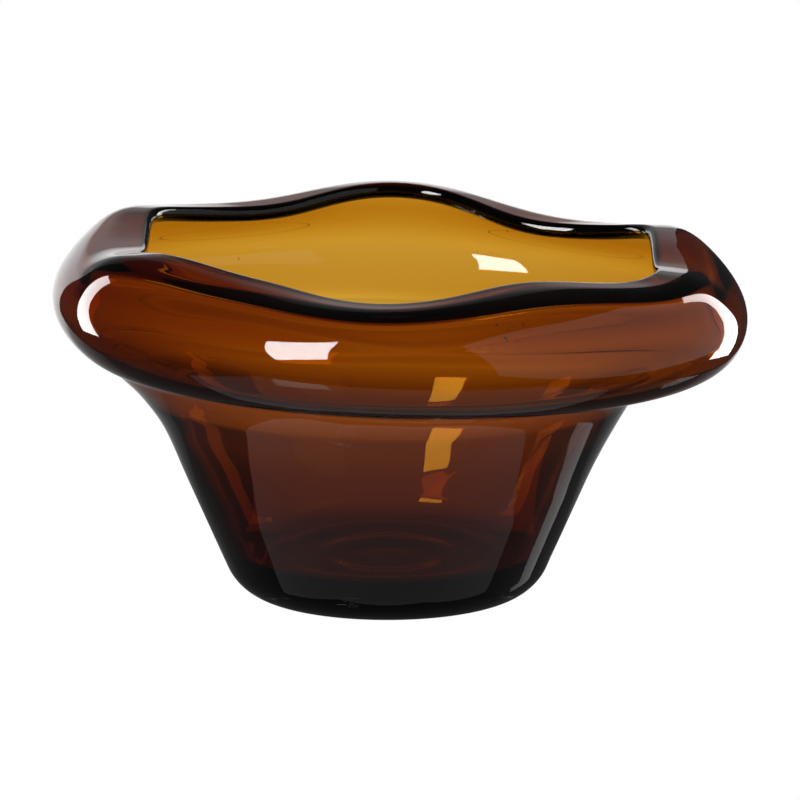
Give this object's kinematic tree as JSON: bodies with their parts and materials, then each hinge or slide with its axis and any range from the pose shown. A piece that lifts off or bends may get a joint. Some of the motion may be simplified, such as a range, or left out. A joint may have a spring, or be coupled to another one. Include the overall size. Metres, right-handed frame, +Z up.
{
  "type": "art glass bowl",
  "caption": "Blown amber glass bowl with a thick round foot, tapered body, wide hollow rolled rim and soft wavy lip; holds fruit or stands as decoration.",
  "frame": {"origin": "centre of the flat underside of the foot", "axes": "+Z up out of the mouth; +X towards the side where the rolled rim reaches furthest and hangs lowest; -Y towards the front view"},
  "size_m": [0.3214, 0.3163, 0.1744],
  "materials": {
    "amber_glass": "gloss"
  },
  "bodies": {
    "root": {"glass_bowl": "amber_glass"}
  },
  "joints": []
}
